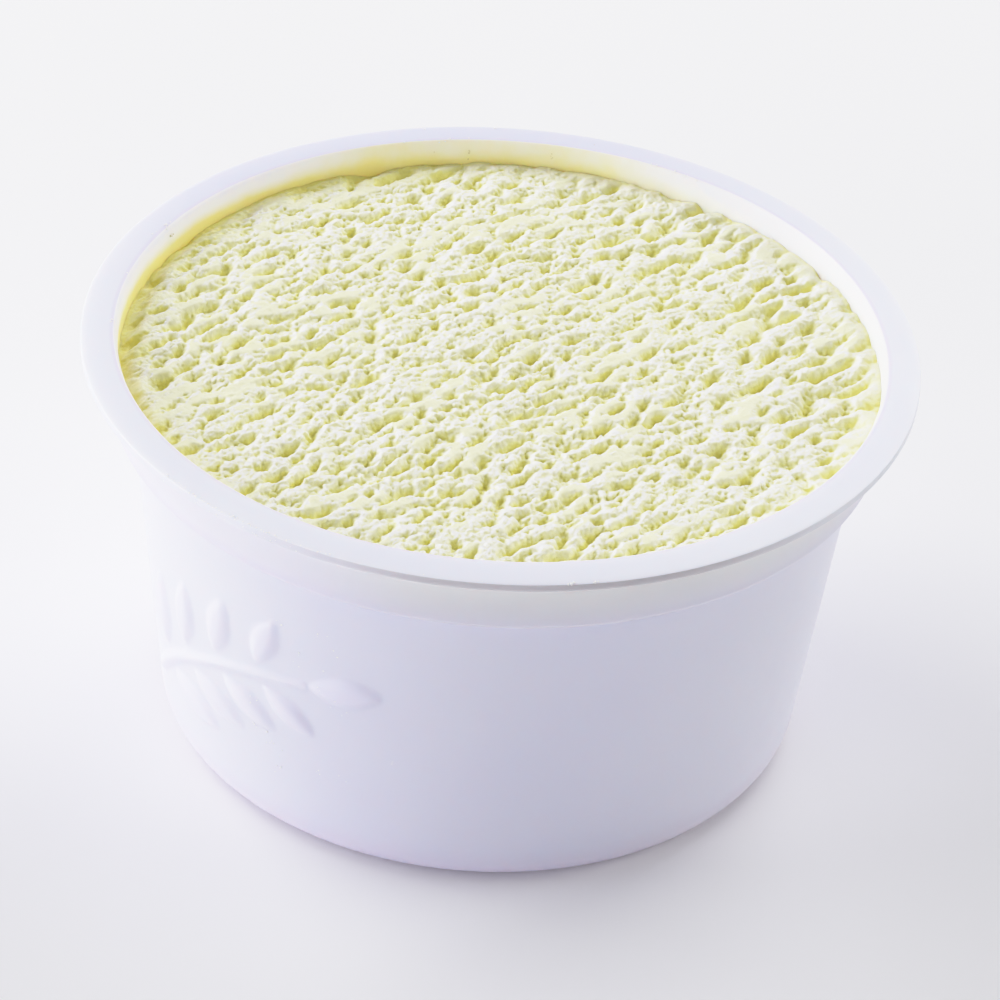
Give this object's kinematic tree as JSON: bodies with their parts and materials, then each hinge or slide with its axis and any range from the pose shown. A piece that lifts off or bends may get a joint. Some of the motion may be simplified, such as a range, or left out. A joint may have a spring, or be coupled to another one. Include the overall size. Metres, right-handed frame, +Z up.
{
  "type": "gelato cup",
  "caption": "Round plastic ice cream cup with a flange, stacking shoulder and raised leaf sprig, filled with pale pistachio-coloured gelato scraped level just under the rim",
  "frame": {"origin": "centre of the cup's flat base", "axes": "+Z up through the mouth; -Y is the front, and the leaf sprig is on the front left of the wall"},
  "size_m": [0.088, 0.088, 0.0453],
  "materials": {
    "cup": "satin translucent white plastic",
    "gelato": "frozen gelato, matte with fine ice grain"
  },
  "bodies": {
    "root": {"cup": "cup", "gelato": "gelato"}
  },
  "joints": []
}
